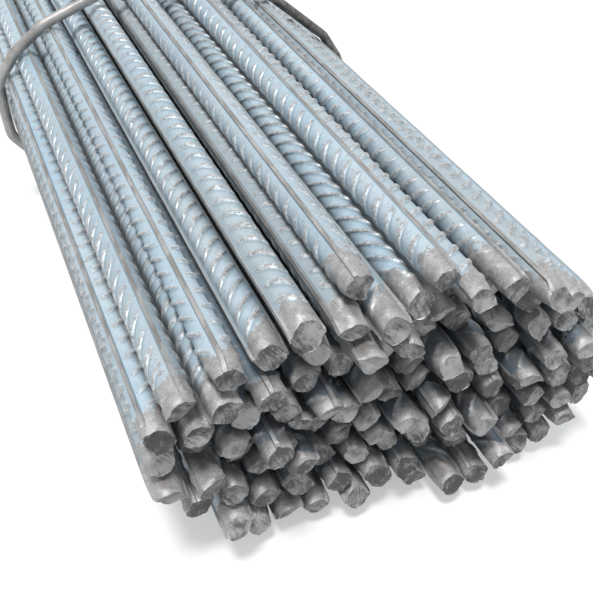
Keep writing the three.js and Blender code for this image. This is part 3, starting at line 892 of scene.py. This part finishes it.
def cut_steel():
    """The sheared faces: dark, with curved lines where the blade dragged, and a bright burr that is
    partly a painted highlight.
    """
    g = Graph(bpy.data.materials.new("cut_steel_face"))
    u, v, turn = g.split("cut")
    _, shade, inward = g.split("wear")
    here = g.places(shade)

    def along(angle):
        """Places across the face in a direction, where angle is a socket in radians."""
        share = g.times(u, g.math("COSINE", angle))
        return g.math("ADD", share, g.times(v, g.math("SINE", angle)))

    swing = g.math("SUBTRACT", g.times(turn, 0.25), 0.4)
    bowed = g.math("ADD", along(swing), g.times(v, v, 0.2))
    drag = g.add("ShaderNodeCombineXYZ", {0: g.times(bowed, 8.0), 1: v, 2: turn}).outputs[0]
    lines = g.noise(drag, 1.1, 5, 0.68)
    grain = g.noise(here, 900, 4, 0.65)
    blotch = g.noise(here, 150, 3)
    tone = g.math("ADD", g.times(lines, 0.35), g.times(blotch, 0.45))
    tone = g.math("ADD", tone, g.times(grain, 0.2))
    tone = g.math("ADD", tone, g.times(g.math("SUBTRACT", shade, 0.5), 0.15))
    colour = g.mix(g.ramp(tone, 0.40, 0.61), CUT_DARK, CUT_LIGHT)
    # Painted highlight, partly bright metal, along the burr at the rim.
    burr_highlight = g.times(g.ramp(inward, 0.02, 0.06, 1, 0), g.ramp(g.noise(here, 210, 2), 0.52, 0.62))
    colour = g.mix(g.times(burr_highlight, 0.65), colour, PAINTED_HIGHLIGHT_AND_BRIGHT_METAL)
    planes = [along(g.math("ADD", g.times(turn, k), 2.1 * k)) for k in (1.0, 2.0, 3.0)]
    normal = g.bump(g.most(*planes), CUT_FOLD)
    normal = g.bump(lines, CUT_LINES_BUMP, 0.5, normal)
    looks = {
        "Base Color": colour,
        "Metallic": CUT_METALLIC,
        "Roughness": g.ramp(grain, 0.3, 0.7, 0.40, 0.55),
        "Normal": g.bump(grain, CUT_GRAIN_BUMP, 0.4, normal),
    }
    return g.finish(looks)


WIRE_DARK = (0.27, 0.26, 0.25, 1)
WIRE_LIGHT = (0.45, 0.44, 0.43, 1)
WIRE_SCUFF = (0.62, 0.61, 0.60, 1)
WIRE_PIT = (0.16, 0.15, 0.145, 1)
WIRE_RIGHT_DARK = (0.085, 0.078, 0.074, 1)
WIRE_DARKENING_SPAN = (-40 * MM, 30 * MM)  # its own colour left of the first place, and darkest right of the second
WIRE_METALLIC = 0.4
WIRE_BUMP = 0.10 * MM


def wire_steel():
    """Grey wire rod: scuffed, pitted, and darker over the right side of the bundle."""
    g = Graph(bpy.data.materials.new("tie_wire_steel"))
    coords = g.add("ShaderNodeTexCoord").outputs["Object"]
    grain = g.noise(coords, 1300, 4, 0.65)
    colour = g.mix(g.ramp(g.noise(coords, 70, 3), 0.35, 0.65), WIRE_DARK, WIRE_LIGHT)
    colour = g.mix(g.ramp(g.noise(coords, 260, 3), 0.60, 0.72, 0, 0.4), colour, WIRE_SCUFF)
    colour = g.mix(g.ramp(g.noise(coords, 500, 2), 0.64, 0.72, 0, 0.5), colour, WIRE_PIT)
    # Darker over the right side of the bundle.
    x = g.object_place()[0]
    blots = g.ramp(g.noise(coords, 190, 3), 0.36, 0.60, 0.55, 1)
    colour = g.mix(g.times(g.ramp(x, *WIRE_DARKENING_SPAN, 0, 0.9), blots), colour, WIRE_RIGHT_DARK)
    looks = {
        "Base Color": colour,
        "Metallic": WIRE_METALLIC,
        "Roughness": g.ramp(grain, 0.3, 0.7, 0.34, 0.50),
        "Normal": g.bump(grain, WIRE_BUMP, 0.7),
    }
    return g.finish(looks)


# ---- The bars' pieces ----
steel_slots = [bar_steel(deep=False), cut_steel(), bar_steel(deep=True)]
CUT_SLOT, SHADE_PAINTED_SLOT = 1, 2
TOWARDS_VIEW = (-0.39, 0.62)  # the way to the camera across the bars, along X and Z
SEEN_FROM = -28 * MM  # from the middle; a bar further that way is seen
centre_z = 0.5 * (cad_box[0][2] + cad_box[1][2])


def open_to_view(bar):
    """Whether an outer bar lies above or on the left, where the camera can see its ribs."""
    right, up = TOWARDS_VIEW
    return up * (bar.middle[1] - centre_z) + right * bar.middle[0] > SEEN_FROM


for node, bars in bars_by_node.items():
    mesh = Mesh()
    inner = node.startswith("inner_")
    for bar in bars:
        # Covered bars take the steel with painted shade.
        mesh.skin = SHADE_PAINTED_SLOT if is_covered(bar) else 0
        if inner:
            add_bar(mesh, bar, SHORT_REACH, SHORT_REACH, 2 * BLEND)
        elif open_to_view(bar):
            add_bar(mesh, bar, FINE_REACH, MID_REACH, FAR_REACH)
        else:
            add_bar(mesh, bar, SHORT_REACH, 2 * SHORT_REACH, FAR_REACH)
    piece = mesh.build(f"{node}_ribbed", steel_slots)
    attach(piece, "root")
    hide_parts(node)

# ---- The ties ----
WIRE_DIAMETER = 7.5 * MM
CLEARANCE = 0.3 * MM
WIRE_CORNER = WIRE_DIAMETER / 2 / math.cos(math.pi / 6)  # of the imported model's six-sided wire
KNOT_LENGTH = 46 * MM
KNOT_TURNS = 1.25
KNOT_STEPS = 40
KNOT_BEND = 13 * MM
KNOT_SWEEP = 3 * MM
KNOT_LIFT = 1 * MM
BEND_STEPS = 9
WIRE_SIDES = 14
WIRE_SHARP_ANGLE = math.radians(46)
ARC_STEP = 0.16  # radians
ON_FLOOR = 0.05 * MM  # a tie's points lower than this are its flat underside
lug_reach = min(bar.reach for bar in all_bars) * math.cos(LUG_HALF_WIDTH / (CORE_RADIUS + RIB_RISE))
wire_offset = lug_reach + CLEARANCE + WIRE_DIAMETER / 2


def outwards(a, b):
    """The angle that faces out of the bundle, between bars a and b of its outline."""
    return math.atan2(a[0] - b[0], b[1] - a[1])


def on_bar(middle, angle):
    """Where the wire's centre line lies on a bar, in the direction of an angle."""
    return middle + wire_offset * np.array([math.cos(angle), math.sin(angle)])


def loop_path(hull):
    """The wire's centre line round the bundle, as X and Z, between its two spans to the top bar."""
    path = []
    for i, bar in enumerate(hull[1:], 1):
        start = outwards(hull[i - 1], bar)
        turn = (outwards(bar, hull[(i + 1) % len(hull)]) - start) % (2 * math.pi)
        steps = max(1, math.ceil(turn / ARC_STEP))
        path += [on_bar(bar, start + turn * k / steps) for k in range(steps + 1)]
    return path


def knot_path(top, neighbour, side):
    """One end of the wire, from where it leaves the loop, as X, Y past the loop, and Z."""
    angle = outwards(top, neighbour) if side < 0 else outwards(neighbour, top)
    heading = np.array([-math.sin(angle), math.cos(angle)])
    leave = on_bar(top, angle) - side * KNOT_BEND * heading
    radius = WIRE_CORNER + CLEARANCE / 2
    axis = on_bar(top, math.pi / 2) + np.array([0, radius + CLEARANCE])
    strand = []
    for k in range(KNOT_STEPS + 1):
        wound = 2 * math.pi * KNOT_TURNS * k / KNOT_STEPS
        swing = side * radius * np.array([math.cos(wound), math.sin(wound)])
        x, z = axis + swing
        strand.append(np.array([x, KNOT_BEND + KNOT_LENGTH * k / KNOT_STEPS, z]))
    first = np.array([leave[0], 0, leave[1]])
    middle = 0.5 * (first + strand[0]) + np.array([0, -KNOT_SWEEP, KNOT_LIFT])
    bend = [
        (1 - t) ** 2 * first + 2 * t * (1 - t) * middle + t * t * strand[0]
        for t in np.linspace(0, 1, BEND_STEPS)
    ]
    return bend[:-1] + strand


def tube(path, radius, sides):
    """Points and faces of a closed round bar along a path."""
    path = np.array(path)
    headings = np.gradient(path, axis=0)
    headings /= np.linalg.norm(headings, axis=1, keepdims=True)
    normal = Vector(np.cross(headings[0], [0, 0, 1])).normalized()
    angles = np.arange(sides) * 2 * math.pi / sides
    points = []
    for i, place in enumerate(path):
        if i:
            normal.rotate(Vector(headings[i - 1]).rotation_difference(Vector(headings[i])))
        across = np.cross(headings[i], normal)
        spread = np.outer(np.cos(angles), normal) + np.outer(np.sin(angles), across)
        points.append(place + radius * spread)
    j = np.arange(sides)
    k = (j + 1) % sides
    faces = []
    for i in range(len(path) - 1):
        a, b = i * sides, (i + 1) * sides
        faces += np.stack([a + j, a + k, b + k, b + j], axis=-1).tolist()
    last = (len(path) - 1) * sides
    faces += [(sides - 1 - j).tolist(), (last + j).tolist()]
    return np.concatenate(points).tolist(), faces


def make_tie(node, hull, material):
    """A round wire in place of a six-sided one: the loop round the bars and its twisted ends."""
    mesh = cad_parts[node].data
    low = [v.co.y for v in mesh.vertices if v.co.z < ON_FLOOR]
    plane = 0.5 * (min(low) + max(low))
    left = knot_path(hull[0], hull[1], -1)[::-1]
    right = knot_path(hull[0], hull[-1], 1)
    loop = [np.array([x, 0, z]) for x, z in loop_path(hull)]
    path = np.array(left + loop + right) + np.array([0, plane, 0])
    points, faces = tube(path, WIRE_DIAMETER / 2, WIRE_SIDES)
    name = f"{node}_round"
    shape = bpy.data.meshes.new(name)
    shape.from_pydata(points, [], faces)
    shape.polygons.foreach_set("use_smooth", [True] * len(shape.polygons))
    shape.set_sharp_from_angle(angle=WIRE_SHARP_ANGLE)
    shape.materials.append(material)
    piece = bpy.data.objects.new(name, shape)
    bpy.context.scene.collection.objects.link(piece)
    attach(piece, "root")
    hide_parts(node)


wire = wire_steel()
for node in sorted(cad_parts):
    if node.startswith("wire_tie"):
        make_tie(node, hull, wire)

# ---- Floor, light and camera ----
FLOOR_SIZE = 60.0
FLOOR_SEEN = (0.60, 0.60, 0.60, 1)
FLOOR_GLOW = 0.40  # where the floor is seen, so that the shadow on it is a light one
FLOOR_FELT = (0.36, 0.36, 0.36, 1)  # for the light that the floor throws back
FLOOR_ROUGHNESS = 0.95
SKY_TOP = (0.60, 0.625, 0.65, 1)
SKY_LOW = (0.215, 0.225, 0.235, 1)
SKY_LOW_AT, SKY_TOP_AT = -0.1, 0.8  # upward share of a direction
SUN_AIM = (0.30, 0.14, -0.91)
SUN_STRENGTH = 2.4
SUN_SPREAD = math.radians(12)
WHITE = (1, 1, 1, 1)


def make_floor():
    """A white floor, which throws less light back at the bars than it shows."""
    mesh = bpy.data.meshes.new("floor")
    h = FLOOR_SIZE / 2
    mesh.from_pydata([(-h, -h, 0), (h, -h, 0), (h, h, 0), (-h, h, 0)], [], [(0, 1, 2, 3)])
    floor = bpy.data.objects.new("floor", mesh)
    bpy.context.scene.collection.objects.link(floor)
    g = Graph(bpy.data.materials.new("floor_white"))
    seen = g.seen()
    looks = {
        "Base Color": g.mix(seen, FLOOR_FELT, FLOOR_SEEN),
        "Roughness": FLOOR_ROUGHNESS,
        "Emission Color": WHITE,
        "Emission Strength": g.times(seen, FLOOR_GLOW),
    }
    mesh.materials.append(g.finish(looks))


def make_sky():
    """A sky that lights the bars grey, and is white where the camera or a reflection sees it."""
    g = Graph(bpy.data.worlds.new("sky"), "Background")
    heading = g.add("ShaderNodeTexCoord").outputs["Generated"]
    up = g.add("ShaderNodeSeparateXYZ", {0: heading}).outputs[2]
    span = {"Value": up, "From Min": SKY_LOW_AT, "From Max": SKY_TOP_AT}
    sky = g.mix(g.add("ShaderNodeMapRange", span).outputs["Result"], SKY_LOW, SKY_TOP)
    bpy.context.scene.world = g.finish({"Color": g.mix(g.seen(), sky, WHITE)})


def make_sun():
    """The one lamp, high up on the left and a little on the near side."""
    data = bpy.data.lights.new("high_sun", "SUN")
    data.energy = SUN_STRENGTH
    data.angle = SUN_SPREAD
    sun = bpy.data.objects.new("high_sun", data)
    sun.rotation_euler = Vector(SUN_AIM).to_track_quat("-Z", "Y").to_euler()
    bpy.context.scene.collection.objects.link(sun)


CAMERA_PLACE = (-0.2023, -3.2205, 0.3603)
CAMERA_AIM = (0.3931, 0.6823, -0.6164)
CAMERA_ROLL = 9.3  # degrees
CAMERA_LENS = 48.57
CAMERA_SENSOR = 36
CAMERA_CLIP = (0.02, 200)


def make_camera():
    """The photo's camera, worked out from the direction in which the bars run together."""
    data = bpy.data.cameras.new("camera")
    data.lens = CAMERA_LENS
    data.sensor_width = CAMERA_SENSOR
    data.clip_start, data.clip_end = CAMERA_CLIP
    camera = bpy.data.objects.new("camera", data)
    camera.location = CAMERA_PLACE
    camera.rotation_mode = "QUATERNION"
    level = Vector(CAMERA_AIM).to_track_quat("-Z", "Y")
    camera.rotation_quaternion = level @ Quaternion((0, 0, 1), math.radians(CAMERA_ROLL))
    bpy.context.scene.collection.objects.link(camera)
    bpy.context.scene.camera = camera


make_floor()
make_sky()
make_sun()
make_camera()
bpy.context.scene.view_settings.view_transform = "Standard"
